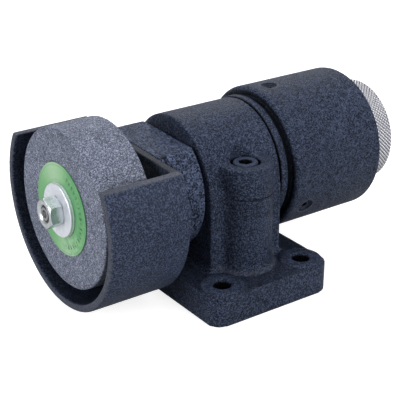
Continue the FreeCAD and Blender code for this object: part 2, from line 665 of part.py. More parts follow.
def brake_carrier():
    plate_back = d.carrier_front + d.carrier_plate
    body = turned("brake_carrier", [
        (d.brake_seat_front, d.brake_seat_rad), (d.brake_seat_front, d.carrier_hub_rad),
        (d.carrier_front, d.carrier_hub_rad), (d.carrier_front, d.carrier_rad),
        (plate_back, d.carrier_rad), (plate_back, d.carrier_hub_rad),
        (d.carrier_back, d.carrier_hub_rad), (d.carrier_back, d.brake_seat_rad)])
    pins = [(d.pivot_rad, 0), (-d.pivot_rad, 0)]
    sketch = circles(body, "YZ_Plane", pins, d.pin_rad, "pin_outlines", d.carrier_front)
    pocket(body, sketch, "pin_holes", d.carrier_plate * 3, both_ways=True)
    half, key_top = d.key_wide / 2, d.key_seat + d.key_tall
    slot = outline(body, "YZ_Plane", [(-half, 0), (half, 0), (half, key_top), (-half, key_top)],
                   "keyway_outline", d.brake_seat_front)
    pocket(body, slot, "keyway", (d.carrier_back - d.brake_seat_front + SLACK) * 2, both_ways=True)
    bars = []
    for side in (1, -1):
        bars.append(bar(d.pin_rad, d.pin_back - d.carrier_front,
                        Vector(d.carrier_front.value, side * d.pivot_rad.value, 0), Vector(1, 0, 0)))
    feature_shape("pivot_pins", Part.makeCompound(bars))


def sector(front, back, inner, outer, start_deg, span_deg):
    """Part of a ring about the X axis, from start_deg (0 is +Y, 90 is +Z)."""
    axis = Vector(1, 0, 0)
    start = math.radians(start_deg)
    corners = []
    for x, radius in ring_points(front, back, inner, outer):
        corners.append(Vector(x, radius * math.cos(start), radius * math.sin(start)))
    face = Part.Face(Part.makePolygon(corners + corners[:1]))
    return face.revolve(Vector(0, 0, 0), axis, span_deg)


def brake_shoe(name, turn_deg):
    """A shoe that swings on its pin, and the lining bonded to it."""
    axis = Vector(1, 0, 0)
    front, back = d.shoe_front.value, d.shoe_back.value
    start = -d.shoe_lead.value
    shoe = sector(front, back, d.shoe_inner_rad.value, d.shoe_outer_rad.value, start, d.shoe_span.value)
    pin = Vector(front, d.pivot_rad.value, 0)
    shoe = shoe.cut(bar(d.pin_bore_rad, back - front, pin, axis))
    centre = start + d.shoe_span.value / 2
    lining = sector(front, back, d.shoe_outer_rad.value, d.lining_rad.value,
                    centre - d.lining_span.value / 2, d.lining_span.value)
    for label, shape in (("brake_shoe_" + name, shoe), ("brake_lining_" + name, lining)):
        shape.rotate(Vector(0, 0, 0), axis, turn_deg)
        feature_shape(label, shape)


def return_spring(name, turn_deg):
    """A closed tension spring across the gap between the two shoes."""
    axis = Vector(1, 0, 0)
    middle = (d.shoe_front.value + d.shoe_back.value) / 2
    last = d.shoe_span.value - d.shoe_lead.value
    first = 180 - d.shoe_lead.value
    ends = []
    inset = SIZES["spring_inset_deg"]
    for angle_deg in (last + inset, first - inset):
        end, out = radial_place(middle, d.pivot_rad, angle_deg)
        ends.append(end)
    along = ends[1] - ends[0]
    outer = Part.makeCylinder(d.spring_coil_rad.value, along.Length, ends[0], along)
    inner = Part.makeCylinder(d.spring_coil_rad.value - d.spring_wire.value, along.Length, ends[0], along)
    spring = outer.cut(inner)
    spring.rotate(Vector(0, 0, 0), axis, turn_deg)
    feature_shape("return_spring_" + name, spring)


# ---- build, check and write ------------------------------------------------------------

bracket_casting()
clamp_screw()
wheel_set()
spindle_nut()
guard()
set_screws()
spindle_housing()
seals_and_clips()
ball_bearing("front", d.front_race_front)
ball_bearing("rear", d.rear_race_front)
spindle()
spindle_fittings()
knob()
brake_drum()
brake_carrier()
for letter, angle_deg in (("a", 0), ("b", 180)):
    brake_shoe(letter, angle_deg)
    return_spring(letter, angle_deg)
doc.recompute()

faults = []
for item in doc.Objects:
    if "Invalid" in item.State or "Error" in item.State:
        faults.append("%s: %s" % (item.Label, item.State))
for item in kept:
    if item.Shape.isNull() or not item.Shape.isValid():
        faults.append("%s: bad shape" % item.Label)
if faults:
    raise RuntimeError("; ".join(faults))
os.makedirs("parts", exist_ok=True)
for item in kept:
    item.Shape.exportStep(os.path.join("parts", item.Label + ".step"))
    print("%-26s %10.1f mm3  solids %d" % (item.Label, item.Shape.Volume, len(item.Shape.Solids)))
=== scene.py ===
import json
import math

import bmesh
import bpy
import numpy as np
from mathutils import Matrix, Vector


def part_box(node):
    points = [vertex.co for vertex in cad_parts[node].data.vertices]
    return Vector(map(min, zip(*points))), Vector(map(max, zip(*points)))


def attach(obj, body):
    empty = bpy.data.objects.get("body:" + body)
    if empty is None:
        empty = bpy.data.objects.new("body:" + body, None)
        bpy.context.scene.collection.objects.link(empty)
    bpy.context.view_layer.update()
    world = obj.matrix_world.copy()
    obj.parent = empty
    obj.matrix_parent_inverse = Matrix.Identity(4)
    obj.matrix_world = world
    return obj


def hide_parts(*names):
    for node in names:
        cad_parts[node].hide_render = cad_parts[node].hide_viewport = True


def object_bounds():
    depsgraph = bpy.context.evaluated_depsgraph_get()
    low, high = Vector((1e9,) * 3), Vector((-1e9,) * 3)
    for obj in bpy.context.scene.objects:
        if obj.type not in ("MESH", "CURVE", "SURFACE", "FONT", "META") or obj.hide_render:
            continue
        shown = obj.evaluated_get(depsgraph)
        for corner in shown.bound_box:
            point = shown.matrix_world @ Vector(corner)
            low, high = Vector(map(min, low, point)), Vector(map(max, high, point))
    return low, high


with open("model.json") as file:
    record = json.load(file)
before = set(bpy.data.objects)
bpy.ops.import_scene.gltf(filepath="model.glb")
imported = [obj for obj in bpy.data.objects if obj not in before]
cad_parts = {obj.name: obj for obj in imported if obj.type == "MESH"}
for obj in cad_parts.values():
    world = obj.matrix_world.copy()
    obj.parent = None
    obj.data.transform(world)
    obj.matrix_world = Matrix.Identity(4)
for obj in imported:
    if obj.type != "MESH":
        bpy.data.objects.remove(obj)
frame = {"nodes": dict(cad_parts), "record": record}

# The looks of a small truing spindle: crinkle coated castings, an abrasive wheel with
# its paper blotters, zinc plated clamping parts and a knurled aluminium knob.
# Lengths are metres in the row frame. Outside sizes come from the frame's own boxes, and
# the sizes further down repeat the CAD's where no box gives them.

MM = 0.001
cad_low, cad_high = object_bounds()

wheel_low, wheel_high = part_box("grinding_wheel")
guard_low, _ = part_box("guard_shell")
hub_low, hub_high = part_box("guard_hub")
knob_low, knob_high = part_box("knurled_knob")
_, weld_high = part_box("guard_weld")
drum_low, drum_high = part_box("brake_drum")

AXIS_HEIGHT = (wheel_low.z + wheel_high.z) / 2
HUB_RADIUS = (hub_high.y - hub_low.y) / 2
KNOB_RADIUS = (knob_high.z - knob_low.z) / 2
DRUM_RADIUS, DRUM_FRONT = (drum_high.z - drum_low.z) / 2, drum_low.x

# Base, clamp boss and ring
BOLT_ALONG, BOLT_ACROSS, BOLT_RADIUS = 47.0 * MM, 91.6 * MM, 4.45 * MM
BASE_TOP, PAD_TOP, PAD_RADIUS = 15.1 * MM, 16.5 * MM, 10.2 * MM
SCREW_ACROSS, SINK_RADIUS, BOSS_RADIUS = -31.4 * MM, 7.2 * MM, 13.4 * MM
BOSS_TOP, HEAD_TOP, SCREW_SOCKET = 67.7 * MM, 67.4 * MM, 3.45 * MM
SLIT_HEIGHT = AXIS_HEIGHT + 0.5 * MM
SLIT_INSIDE, SLIT_HALF_LONG = -27.0 * MM, 11.2 * MM
RING_HALF, RING_FOOT = 20.65 * MM, 20.0 * MM
# Guard and hub
CUT_HEIGHT, GUARD_TURN, GUARD_INSIDE = 23.9 * MM, math.radians(1.5), 44.3 * MM
# Where the painted shade line of the weld's edge runs across the hub.
SHADE_LINE_MIDDLE, SHADE_LINE_SLANT = -30.8 * MM, -9.2
NOTCH_PLACE, NOTCH_HEIGHT = weld_high.x + 0.9 * MM, 75.0 * MM
# Housing and drum
BAND_RADIUS, BAND_FRONT, BAND_BACK = 32.7 * MM, 21.2 * MM, 25.5 * MM
DRUM_SCREW_PLACE, DRUM_SCREW_RADIUS, SPOT_WALL, SPOT_RIM = (
    38.1 * MM, 2.65 * MM, 3.65 * MM, 4.50 * MM)
DRUM_SCREW_TURNS = tuple(math.radians(angle) for angle in (90, 210, 330))
# Spindle end and blotter
STUD_RADIUS, STUD_END, CENTRE_HOLE = 3.9 * MM, -88.9 * MM, 1.6 * MM
SHEEN_ANGLE = math.radians(70)
PRINT_RADIUS, PRINT_TICKS, PRINT_ANGLE = 17.8 * MM, 46.0, math.radians(185)
PAPER_RIM, PAPER_PRESSED = 20.9 * MM, 14.0 * MM

COAT_DARK = (0.0010, 0.0020, 0.0062)
# Pale colour of the wrinkles' crests: a painted highlight.
COAT_LIGHT = (0.0610, 0.0790, 0.1340)
# Paler edges: paint worn thin there, and a painted edge highlight.
COAT_WORN_AND_HIGHLIGHT = (0.075, 0.080, 0.105)
# Pale coat for bared cuts and rough crests, and for painted highlights on lit rims and lips.
COAT_BARE_AND_HIGHLIGHT = (0.075, 0.079, 0.094)
# Near black painted shade, for holes, grooves, sockets, creases and the guard's inside.
COAT_SHADE = (0.0006, 0.0008, 0.0012)
COAT_SHEEN = (0.78, 0.86, 1.0)
COAT_GLOSS = 0.11
# Colour of the painted shade rings at the stud's end.
THREAD_DARK = (0.02, 0.02, 0.022)


# ---- node materials --------------------------------------------------------------------

class Nodes:
    """A short way to build a node material in millimetres of object space."""

    def __init__(self, name):
        self.material = bpy.data.materials.new(name)
        self.material.use_nodes = True
        self.tree = self.material.node_tree
        self.shader = self.tree.nodes["Principled BSDF"]
        place = self.add("ShaderNodeTexCoord")
        scale = self.add("ShaderNodeVectorMath", operation="SCALE")
        scale.inputs["Scale"].default_value = 1 / MM
        self.link(place.outputs["Object"], scale.inputs[0])
        self.mm = scale.outputs[0]

    def add(self, kind, **settings):
        node = self.tree.nodes.new(kind)
        for key, value in settings.items():
            setattr(node, key, value)
        return node

    def link(self, source, target):
        self.tree.links.new(source, target)

    # -- patterns

    def noise(self, scale, detail=3.0, rough=0.55, distortion=0.0, where=None):
        node = self.add("ShaderNodeTexNoise")
        node.inputs["Scale"].default_value = scale
        node.inputs["Detail"].default_value = detail
        node.inputs["Roughness"].default_value = rough
        node.inputs["Distortion"].default_value = distortion
        self.link(where or self.mm, node.inputs["Vector"])
        return node.outputs["Fac"]

    def cells(self, scale, output):
        node = self.add("ShaderNodeTexVoronoi", feature="F1")
        node.inputs["Scale"].default_value = scale
        self.link(self.mm, node.inputs["Vector"])
        return node.outputs[output]

    def tool_marks(self, across, along, around, detail):
        """Noise drawn out round the axis, and the radius and place along it."""
        radius, angle, x = self.polar()
        marks = self.add("ShaderNodeCombineXYZ")
        self.link(self.product(radius, across), marks.inputs["X"])
        self.link(self.product(x, along), marks.inputs["Y"])
        self.link(self.product(angle, around), marks.inputs["Z"])
        return self.noise(1.0, detail, 0.6, where=marks.outputs[0]), radius, x

    # -- arithmetic

    def maths(self, operation, first, second=None, clamp=False):
        node = self.add("ShaderNodeMath", operation=operation, use_clamp=clamp)
        for socket, value in zip(node.inputs, (first, second)):
            if value is None:
                continue
            if hasattr(value, "is_output"):
                self.link(value, socket)
            else:
                socket.default_value = value
        return node.outputs[0]

    def chain(self, operation, parts):
        result = parts[0]
        for part in parts[1:]:
            result = self.maths(operation, result, part)
        return result

    def product(self, *parts):
        return self.chain("MULTIPLY", parts)

    def total(self, *parts):
        return self.chain("ADD", parts)

    def highest(self, *parts):
        return self.chain("MAXIMUM", parts)

    def minus(self, first, second):
        return self.maths("SUBTRACT", first, second)

    def size(self, value):
        return self.maths("ABSOLUTE", value)

    def far(self, first, second):
        """Length of the vector with these two sides."""
        return self.maths("SQRT", self.total(self.product(first, first),
                                             self.product(second, second)))

    # -- where a point is

    def axes(self):
        split = self.add("ShaderNodeSeparateXYZ")
        self.link(self.mm, split.inputs[0])
        return tuple(split.outputs[name] for name in "XYZ")

    def polar(self):
        """Distance from the spindle's axis, the angle round it and the place along it."""
        x, y, z = self.axes()
        up = self.minus(z, AXIS_HEIGHT / MM)
        return self.far(y, up), self.maths("ARCTAN2", up, y), x

    # -- masks

    def ramp(self, value, low, high, to_low=0.0, to_high=1.0):
        node = self.add("ShaderNodeMapRange")
        for name, number in (("From Min", low), ("From Max", high), ("To Min", to_low),
                             ("To Max", to_high)):
            node.inputs[name].default_value = number
        self.link(value, node.inputs["Value"])
        return node.outputs["Result"]

    def fade(self, value, edge, span, before=1.0, after=0.0):
        """From before to after, over a span in millimetres beside an edge in metres."""
        return self.ramp(value, edge / MM + span[0], edge / MM + span[1], before, after)

    def near(self, value, middle, half):
        """1 within about half a width (mm) of the middle (m), falling to 0 beyond."""
        away = self.size(self.minus(value, middle / MM))
        return self.ramp(away, half * 0.7, half * 1.3, 1.0, 0.0)

    # -- colour and surface

    def colours(self, value, stops):
        node = self.add("ShaderNodeValToRGB")
        band = node.color_ramp
        while len(band.elements) < len(stops):
            band.elements.new(0.5)
        for element, (place, colour) in zip(band.elements, stops):
            element.position = place
            element.color = (*colour, 1)
        self.link(value, node.inputs["Fac"])
        return node.outputs["Color"]

    def mix(self, fac, first, second):
        node = self.add("ShaderNodeMix", data_type="RGBA", blend_type="MIX")
        for socket, value in ((node.inputs[0], fac), (node.inputs[6], first),
                              (node.inputs[7], second)):
            if hasattr(value, "is_output"):
                self.link(value, socket)
            elif isinstance(value, (tuple, list)):
                socket.default_value = (*value, 1)
            else:
                socket.default_value = value
        return node.outputs[2]

    def bump(self, height, distance, strength):
        node = self.add("ShaderNodeBump")
        node.inputs["Distance"].default_value = distance
        node.inputs["Strength"].default_value = strength
        self.link(height, node.inputs["Height"])
        return node.outputs["Normal"]

    def finish(self, colour, rough, normal, **values):
        self.link(colour, self.shader.inputs["Base Color"])
        self.link(rough, self.shader.inputs["Roughness"])
        self.link(normal, self.shader.inputs["Normal"])
        for name, value in values.items():
            self.shader.inputs[name.replace("_", " ")].default_value = value
        return self.material


# ---- masks of the coat -----------------------------------------------------------------
# Each returns a factor from 0 to 1. A span is where a mask fades, in millimetres from the
# edge that it follows.

def edge_wear_and_highlight(n):
    """High on the outer edges of a piece, where paint thins and where a painted highlight stands
    for the edges catching light.
    """
    geometry = n.add("ShaderNodeNewGeometry")
    return n.ramp(geometry.outputs["Pointiness"], 0.53, 0.60)


def from_clamp_screw(n, x, y):
    """Distance from the clamp screw's upright axis."""
    return n.far(x, n.minus(y, SCREW_ACROSS / MM))


def from_drum_screws(n):
    """Distance from the nearest of the three set screws' own axes."""
    x, y, z = n.axes()
    up = n.minus(z, AXIS_HEIGHT / MM)
    along = n.minus(x, DRUM_SCREW_PLACE / MM)
    other_side = 50.0
    nearest = None
    for angle in DRUM_SCREW_TURNS:
        cos, sin = math.cos(angle), math.sin(angle)
        side = n.minus(n.product(up, cos), n.product(y, sin))
        out = n.total(n.product(up, sin), n.product(y, cos))
        away = n.total(n.far(along, side), n.ramp(out, 10.0, 11.0, other_side, 0.0))
        nearest = away if nearest is None else n.maths("MINIMUM", nearest, away)
    return nearest


def cut_faces(n):
    """High on the guard's level cut, where the coat is thin, and on the rim of its open end, where
    it is worn and a painted highlight stands for the light the rim faces.
    """
    x, y, z = n.axes()
    above = n.minus(z, n.product(y, math.tan(GUARD_TURN)))
    on_cut = n.fade(above, AXIS_HEIGHT + CUT_HEIGHT, (-0.55, -0.20), 0.0, 1.0)
    on_rim = n.fade(x, guard_low.x, (0.25, 0.70), 0.8)
    return n.highest(on_cut, on_rim)


def guard_inside_shade(n):
    """Darker inside the guard, behind its rim: painted shade."""
    radius, _, along = n.polar()
    inside = n.fade(radius, GUARD_INSIDE, (0.3, 0.8), 0.55)
    return n.product(inside, n.fade(along, guard_low.x, (0.8, 1.6), 0.0, 1.0))


def hub_shade_line(n):
    """Painted shade of the weld's edge: a dark wavy run that crosses the hub slantwise, and a notch
    where the weld ends.
    """
    x, y, z = n.axes()
    turn = n.maths("ARCTAN2", n.minus(z, AXIS_HEIGHT / MM), n.product(y, -1.0))
    wander = n.ramp(n.noise(0.30, 2.0, 0.6), 0.3, 0.7, -1.1, 1.1)
    path = n.total(n.product(turn, SHADE_LINE_SLANT), wander)
    line = n.near(n.minus(x, path), SHADE_LINE_MIDDLE, half=0.38)
    line = n.product(line, n.ramp(y, -20.0, -18.0, 1.0, 0.0))
    broken = n.ramp(n.noise(0.6, 1.0), 0.35, 0.50, 0.2, 0.9)
    notch = n.product(n.near(x, NOTCH_PLACE, half=0.6),
                      n.fade(z, NOTCH_HEIGHT, (-5.0, -2.0), 0.0, 0.8),
                      n.fade(z, NOTCH_HEIGHT, (-0.2, 0.4)),
                      n.ramp(y, -16.0, -14.0, 1.0, 0.0))
    return n.highest(n.product(line, broken), notch)


def bracket_shade(n):
    """Painted shade: dark in the bolt holes and the counterbore, in the closed slit, on the base's
    top, at the pads' feet and at the ring's ends.
    """
    x, y, z = n.axes()
    from_bolt = n.far(n.minus(n.size(x), BOLT_ALONG / 2 / MM),
                      n.minus(n.size(y), BOLT_ACROSS / 2 / MM))
    in_hole = n.product(n.fade(from_bolt, BOLT_RADIUS, (0.35, 0.75)),
                        n.fade(z, PAD_TOP, (-1.6, -0.7)))
    in_sink = n.product(n.fade(from_clamp_screw(n, x, y), SINK_RADIUS, (0.2, 0.6)),
                        n.fade(z, BOSS_TOP, (-1.6, -0.7)))
    in_slit = n.product(n.near(z, SLIT_HEIGHT, half=0.32),
                        n.fade(n.size(x), SLIT_HALF_LONG, (-0.6, 0.0), 0.55),
                        n.fade(y, SLIT_INSIDE, (-1.0, 0.0)))
    flat = n.product(n.near(z, BASE_TOP, half=0.35),
                     n.fade(from_bolt, PAD_RADIUS, (0.0, 2.0), 0.0, 0.35))
    pad_foot = n.product(n.near(from_bolt, PAD_RADIUS + 0.7 * MM, half=0.8),
                         n.near(z, BASE_TOP + 0.4 * MM, half=0.7), 0.35)
    ring_end = n.product(n.near(x, RING_HALF, half=0.30),
                         n.fade(z, RING_FOOT, (0.0, 4.0), 0.0, 0.9))
    return n.highest(in_hole, flat, pad_foot, ring_end, in_sink, in_slit)


def foot_crests_and_highlight(n):
    """Paler crests where the boss runs out into the base: rough casting, with a painted highlight
    along the fillet.
    """
    x, y, z = n.axes()
    out = n.minus(from_clamp_screw(n, x, y), z)
    slope = BOSS_RADIUS - BASE_TOP + 0.4 * MM
    return n.product(n.near(out, slope, half=1.5),
                     n.near(z, BASE_TOP + 1.9 * MM, half=1.5), 0.45)


def socket_shade(n):
    """Dark inside the clamp screw's hexagon socket: painted shade."""
    x, y, z = n.axes()
    return n.product(n.fade(from_clamp_screw(n, x, y), SCREW_SOCKET, (0.0, 0.3)),
                     n.fade(z, HEAD_TOP, (-0.8, -0.35)))


def set_screw_shade(n):
    """Dark in a drum screw's socket and round its edge: painted shade."""
    away = from_drum_screws(n)
    socket = n.ramp(away, 1.60, 1.90, 1.0, 0.0)
    return n.highest(socket, n.product(n.near(away, DRUM_SCREW_RADIUS, half=0.30), 0.9))


def drum_shade(n):
    """Dark on the drum's inner front face, and in the sunk spots of its screws: painted shade."""
    radius, _, along = n.polar()
    inside = n.product(n.fade(radius, DRUM_RADIUS, (-2.6, -1.4), 0.9),
                       n.fade(along, DRUM_FRONT, (0.5, 1.0)))
    away = from_drum_screws(n)
    wall = n.product(n.near(away, SPOT_WALL, half=0.35), 0.75)
    return n.highest(inside, wall, n.fade(away, DRUM_SCREW_RADIUS, (-0.15, 0.25), 0.9))


def drum_lip_highlight(n):
    """Paler along the drum's rounded front corner and round the sunk spots: a painted highlight on
    these edges.
    """
    radius, _, along = n.polar()
    corner = n.minus(radius, n.minus(along, DRUM_FRONT / MM))
    lip = n.product(n.fade(corner, DRUM_RADIUS, (-1.1, -0.3), 0.0, 0.7),
                    n.fade(along, DRUM_FRONT, (1.2, 1.8)))
    rim = n.product(n.near(from_drum_screws(n), SPOT_RIM, half=0.55), 0.95)
    return n.highest(lip, rim)


def housing_groove_shade(n):
    """Dark in the grooves before and behind the housing's band: painted shade."""
    radius, _, along = n.polar()
    behind = n.product(n.fade(radius, BAND_RADIUS, (-1.8, -1.0), 0.9),
                       n.fade(along, BAND_BACK, (-0.5, 0.1), 0.0, 1.0))
    return n.highest(behind, n.product(n.near(along, BAND_FRONT, half=0.30), 0.9))


# ---- looks -----------------------------------------------------------------------------

def crinkle_coat(name, scale=1.0, relief=0.30, veined=0.8, bare_and_highlight=None, painted_shade=None, lift=1.0,
                 contrast=1.0):
    """Dark blue powder coat that dried in fine wrinkles; the crests' pale colour is a painted
    highlight, standing in for the glints off them.
    """
    n = Nodes(name)
    veins = n.size(n.minus(n.noise(0.50 * scale, 0.5, 0.5, 1.5), 0.5))
    veins = n.ramp(veins, 0.02, 0.105, 1.0, 0.0)
    pebble = n.ramp(n.noise(1.25 * scale, 0.5, 0.5, 0.6), 0.47, 0.66)
    grit = n.ramp(n.noise(2.5 * scale, 1.0, 0.5), 0.46, 0.70)
    height = n.total(n.product(veins, 0.66 * veined),
                     n.total(n.product(pebble, 0.66 - 0.30 * veined), n.product(grit, 0.30)))
    wide = n.ramp(n.noise(0.045, 3.0, 0.5), 0.35, 0.65, -0.03, 0.03)
    tone = n.maths("ADD", height, wide, clamp=True)
    # Painted highlight: the higher a wrinkle stands, the paler its colour, for glints off the
    # glossy crests.
    colour = n.mix(n.ramp(tone, 0.0, 1.0, 1.0 - contrast, 1.0), COAT_DARK,
                   tuple(part * lift for part in COAT_LIGHT))
    # Outer edges paler: wear, and a painted highlight on them.
    wear_and_highlight = n.maths("MULTIPLY", edge_wear_and_highlight(n), n.ramp(n.noise(0.5, 3.0), 0.35, 0.7, 0.15, 0.8),
                   clamp=True)
    colour = n.mix(wear_and_highlight, colour, COAT_WORN_AND_HIGHLIGHT)
    # Pale marks: bared or rough coat, and painted highlights, broken up by noise.
    if bare_and_highlight is not None:
        patchy = n.ramp(n.noise(1.5, 3.0, 0.6), 0.38, 0.60, 0.10, 1.0)
        colour = n.mix(n.product(bare_and_highlight(n), patchy), colour, COAT_BARE_AND_HIGHLIGHT)
    # Painted shade: near black where holes, grooves and sockets would lie in shade.
    if painted_shade is not None:
        colour = n.mix(painted_shade(n), colour, COAT_SHADE)
    rough = n.ramp(n.noise(1.7 * scale, 2.0), 0.3, 0.7, 0.34, 0.54)
    n.shader.inputs["Specular Tint"].default_value = (*COAT_SHEEN, 1)
    return n.finish(colour, rough, n.bump(height, relief * MM, 1.0),
                    Specular_IOR_Level=COAT_GLOSS)


def bare_steel(name, base, rough):
    """Turned steel, with tool marks round the axis; at the threaded end two dark rings are painted
    shade, for the thread's edge and the centre hole.
    """
    n = Nodes(name)
    lines, radius, along = n.tool_marks(3.0, 3.0, 0.35, 4.0)
    stain = n.noise(0.2, 4.0, 0.6)
    colour = n.mix(n.ramp(stain, 0.35, 0.75, 0.0, 0.35), base, tuple(part * 0.72 for part in base))
    # Painted shade: dark rings where the thread's edge and the centre hole would lie in shade.
    on_end = n.fade(along, STUD_END, (5.0, 6.0))
    rings = n.highest(n.near(radius, STUD_RADIUS - 0.35 * MM, half=0.45),
                      n.near(radius, CENTRE_HOLE, half=0.35))
    colour = n.mix(n.product(rings, on_end, 0.85), colour, THREAD_DARK)
    roughness = n.ramp(lines, 0.3, 0.7, rough * 0.75, rough * 1.35)
    return n.finish(colour, roughness, n.bump(lines, 0.012 * MM, 0.5), Metallic=1.0)


def abrasive_grain():
    """Blue grey grain held in a glassy bond: each grain has its own tone."""
    n = Nodes("abrasive_grain")
    grain = 2.35
    split = n.add("ShaderNodeSeparateColor")
    n.link(n.cells(grain, "Color"), split.inputs[0])
    clumps = n.ramp(n.noise(1.75, 1.0, 0.5, 0.4), 0.34, 0.66)
    wide = n.ramp(n.noise(0.06, 3.0, 0.5), 0.35, 0.65, -0.04, 0.04)
    tone = n.total(n.product(split.outputs[0], 0.52), n.product(clumps, 0.42), wide)
    colour = n.colours(tone, [
        (0.08, (0.016, 0.020, 0.034)), (0.36, (0.070, 0.081, 0.122)),
        (0.64, (0.160, 0.180, 0.245)), (0.92, (0.380, 0.410, 0.510))])
    height = n.minus(n.product(clumps, 0.8), n.cells(grain, "Distance"))
    rough = n.ramp(split.outputs[1], 0.0, 1.0, 0.45, 0.95)
    return n.finish(colour, rough, n.bump(height, 0.20 * MM, 0.8), Specular_IOR_Level=0.4)


def green_paper():
    """Glazed blotter paper: fibre, two pale lobes of sheen, a plain printed band of ticks."""
    n = Nodes("green_paper")
    radius, angle, _ = n.polar()
    fibre = n.noise(0.9, 5.0, 0.65, 1.2)
    fine = n.noise(3.2, 3.0, 0.6)

    def line(place, low, high, strength):
        away = n.size(n.minus(radius, place / MM))
        return n.ramp(away, low, high, strength, 0.0)

    lobes = n.maths("COSINE", n.product(n.minus(angle, SHEEN_ANGLE), 2.0))
    lobes = n.maths("POWER", n.product(n.total(lobes, 1.0), 0.5), 3.0)
    tone = n.total(n.product(lobes, 0.62), n.total(n.product(fibre, 0.40), n.product(fine, 0.16)))
    colour = n.colours(tone, [(0.12, (0.060, 0.240, 0.085)), (0.45, (0.150, 0.350, 0.155)),
                              (0.95, (0.280, 0.450, 0.275))])
    reach = n.ramp(n.maths("COSINE", n.minus(angle, PRINT_ANGLE)), 0.05, 0.35)
    patches = n.ramp(n.noise(0.30, 2.0, 0.5), 0.42, 0.60, 0.0, 0.5)
    colour = n.mix(n.product(patches, reach), colour, (0.035, 0.230, 0.080))
    ticks = n.ramp(n.maths("SINE", n.product(angle, PRINT_TICKS)), -0.2, 0.3)
    wear_and_highlight = n.ramp(n.noise(1.1, 2.0, 0.6), 0.40, 0.55)
    printed = n.product(line(PRINT_RADIUS, 0.9, 1.3, 1.0), ticks, wear_and_highlight, reach, 0.9)
    colour = n.mix(printed, colour, (0.008, 0.070, 0.018))
    colour = n.mix(line(PAPER_RIM, 0.15, 0.30, 0.35), colour, (0.05, 0.21, 0.08))
    colour = n.mix(line(PAPER_PRESSED, 0.0, 0.9, 0.30), colour, (0.08, 0.22, 0.10))
    height = n.total(fibre, n.product(fine, 0.4))
    return n.finish(colour, n.ramp(fine, 0.3, 0.7, 0.38, 0.58), n.bump(height, 0.05 * MM, 0.6))


def zinc_plate(name, light, dark, rough, metallic, relief):
    """Bright zinc with a faint blue cast and fine turning lines."""
    n = Nodes(name)
    lines, _, _ = n.tool_marks(5.0, 2.0, 0.6, 3.0)
    cloud = n.noise(0.35, 4.0, 0.55, 0.8)
    colour = n.mix(n.ramp(cloud, 0.35, 0.7), light, dark)
    roughness = n.ramp(lines, 0.3, 0.7, rough * 0.85, rough * 1.15)
    return n.finish(colour, roughness, n.bump(lines, relief * MM, 0.5), Metallic=metallic)


def knurl_aluminium():
    """Aluminium with bright crests; the near black of the valleys is painted shade."""
    n = Nodes("knurl_aluminium")
    radius, _, _ = n.polar()
    # Painted shade: the knurl's valleys go near black.
    valley = n.fade(radius, KNOB_RADIUS, (-0.55, -0.20))
    on_band = n.fade(radius, KNOB_RADIUS, (-0.66, -0.62), 0.0, 1.0)
    dust = n.noise(1.3, 4.0, 0.6)
    colour = n.mix(n.product(valley, on_band), (0.50, 0.50, 0.54), (0.020, 0.020, 0.030))
    colour = n.mix(n.ramp(dust, 0.45, 0.75, 0.0, 0.20), colour, (0.28, 0.28, 0.31))
    rough = n.ramp(n.noise(3.0, 3.0), 0.3, 0.7, 0.32, 0.50)
    return n.finish(colour, rough, n.bump(dust, 0.02 * MM, 0.5), Metallic=1.0)


def mottled(name, dark, light, rough, metallic=0.0, scale=0.6, relief=0.05):
    """Any plain inner material: two tones, uneven gloss and a fine grain."""
    n = Nodes(name)
    cloud = n.noise(scale, 4.0, 0.6, 0.5)
    fine = n.noise(scale * 5, 3.0, 0.6)
    colour = n.mix(n.ramp(cloud, 0.3, 0.7), dark, light)
    roughness = n.ramp(fine, 0.3, 0.7, rough * 0.8, min(1.0, rough * 1.2))
    return n.finish(colour, roughness, n.bump(fine, relief * MM, 0.5), Metallic=metallic)


LOOKS = {
    "crinkle_coat": crinkle_coat("crinkle_coat"),
    "weld_coat": crinkle_coat("weld_coat", 0.8, 0.2),
    "abrasive": abrasive_grain(),
    "blotter_green": green_paper(),
    "zinc_plate": zinc_plate("zinc_plate", (0.80, 0.83, 0.89), (0.68, 0.71, 0.77), 0.46, 0.8, 0.01),
    "turned_steel": bare_steel("turned_steel", (0.36, 0.37, 0.39), 0.34),
    "black_oxide": mottled("black_oxide", (0.0015, 0.0018, 0.0025), (0.005, 0.006, 0.008), 0.55,
                           0.0, 0.8, 0.04),
    "knurled_aluminium": knurl_aluminium(),
    "brass_cage": mottled("brass_cage", (0.50, 0.34, 0.10), (0.72, 0.52, 0.20), 0.32, 1.0),
    "seal_rubber": mottled("seal_rubber", (0.012, 0.012, 0.013), (0.035, 0.035, 0.037), 0.62),
    "lining": mottled("lining", (0.055, 0.035, 0.022), (0.16, 0.11, 0.075), 0.8, 0.0, 1.8, 0.12),
    "cast_brake": mottled("cast_brake", (0.10, 0.10, 0.105), (0.22, 0.22, 0.23), 0.55, 0.8, 0.9,
                          0.08),
}
NUT_PLATE = zinc_plate("nut_plate", (0.66, 0.70, 0.72), (0.50, 0.54, 0.57), 0.30, 1.0, 0.002)
